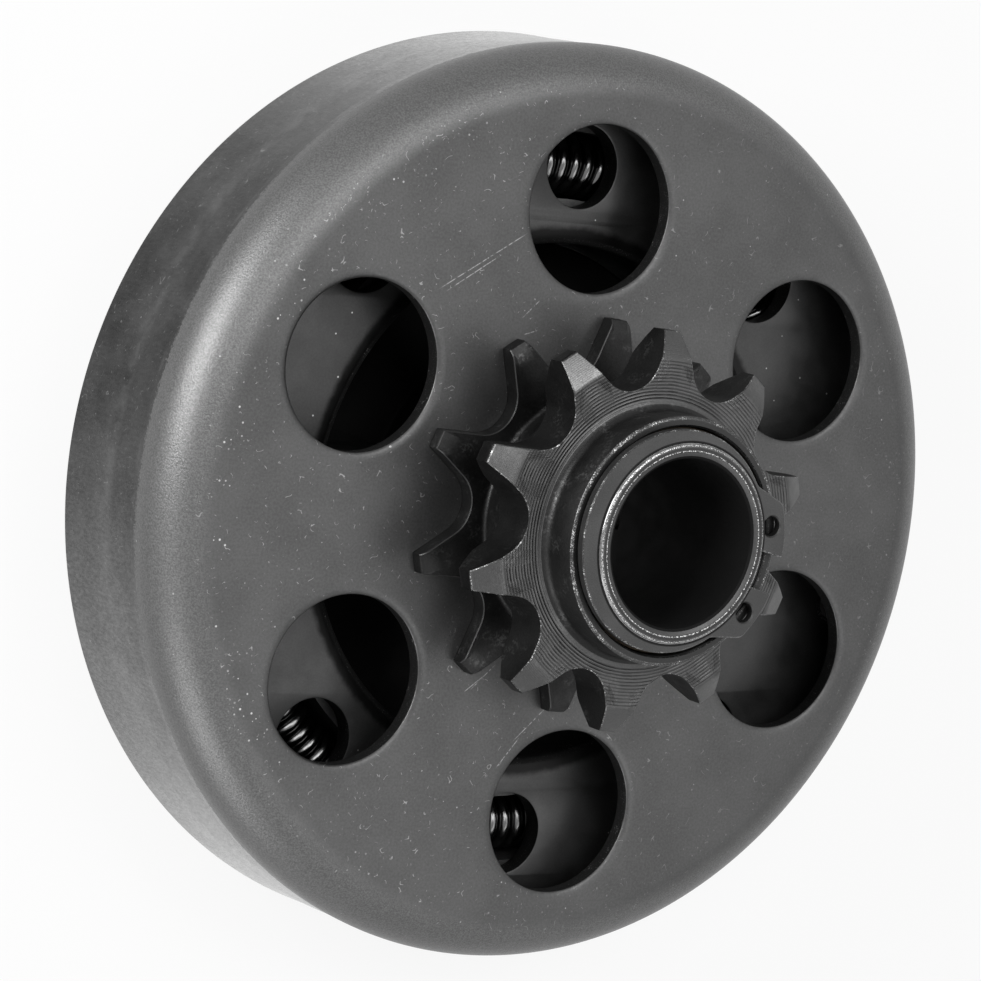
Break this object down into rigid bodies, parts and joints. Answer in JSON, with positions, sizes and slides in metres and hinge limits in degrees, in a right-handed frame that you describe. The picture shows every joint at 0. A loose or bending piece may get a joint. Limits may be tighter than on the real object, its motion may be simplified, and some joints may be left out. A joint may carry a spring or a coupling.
{
  "type": "centrifugal clutch",
  "caption": "Centrifugal clutch: pressed steel drum with round holes, toothed chain sprocket in front, and sliding shoes on a driven hub, held in by a garter spring.",
  "frame": {"origin": "centre of the drum's open rim, in the plane that it stands on", "axes": "+Z along the shaft axis, out through the sprocket; +Y along the travel of shoe A; +X through one driving ear and the keyway"},
  "size_m": [0.108, 0.108, 0.0432],
  "materials": {
    "drum_steel": "dark grey phosphated pressed steel",
    "sprocket_steel": "dark blued turned steel with bright tooth edges",
    "bronze": "oiled sintered bronze",
    "hub_steel": "dark steel, polished at the front rim",
    "washer_steel": "ground steel",
    "spring_steel": "glossy black oiled spring steel",
    "shoe_steel": "grainy dark grey steel",
    "cover_steel": "satin dark grey steel plate",
    "rivet_steel": "ground rivet heads"
  },
  "bodies": {
    "hub": {"hub": "hub_steel", "rear_thrust_washer": "washer_steel", "front_thrust_washer": "washer_steel", "circlip": "spring_steel", "garter_spring": "spring_steel"},
    "drum": {"drum": "drum_steel", "sprocket": "sprocket_steel", "bushing": "bronze"},
    "shoe_a": {"shoe_a_block": "shoe_steel", "shoe_a_cover": "cover_steel", "shoe_a_rivet_1": "rivet_steel", "shoe_a_rivet_2": "rivet_steel", "shoe_a_rivet_3": "rivet_steel", "shoe_a_rivet_4": "rivet_steel"},
    "shoe_b": {"shoe_b_block": "shoe_steel", "shoe_b_cover": "cover_steel", "shoe_b_rivet_1": "rivet_steel", "shoe_b_rivet_2": "rivet_steel", "shoe_b_rivet_3": "rivet_steel", "shoe_b_rivet_4": "rivet_steel"}
  },
  "joints": [
    {"name": "drum_spin", "type": "hinge", "parent": "hub", "child": "drum", "pos_m": [0, 0, 0.03], "axis": [0, 0, 1], "continuous": true},
    {"name": "shoe_a_slide", "type": "slide", "parent": "hub", "child": "shoe_a", "axis": [0, 1, 0], "range_m": [0, 0.0009], "stiffness_N_per_m": 20000, "springref_m": -0.002, "deforming": ["garter_spring"]},
    {"name": "shoe_b_slide", "type": "slide", "parent": "hub", "child": "shoe_b", "axis": [0, -1, 0], "range_m": [0, 0.0009]}
  ],
  "couplings": [
    {"joint": "shoe_b_slide", "follows": "shoe_a_slide", "ratio": 1}
  ]
}
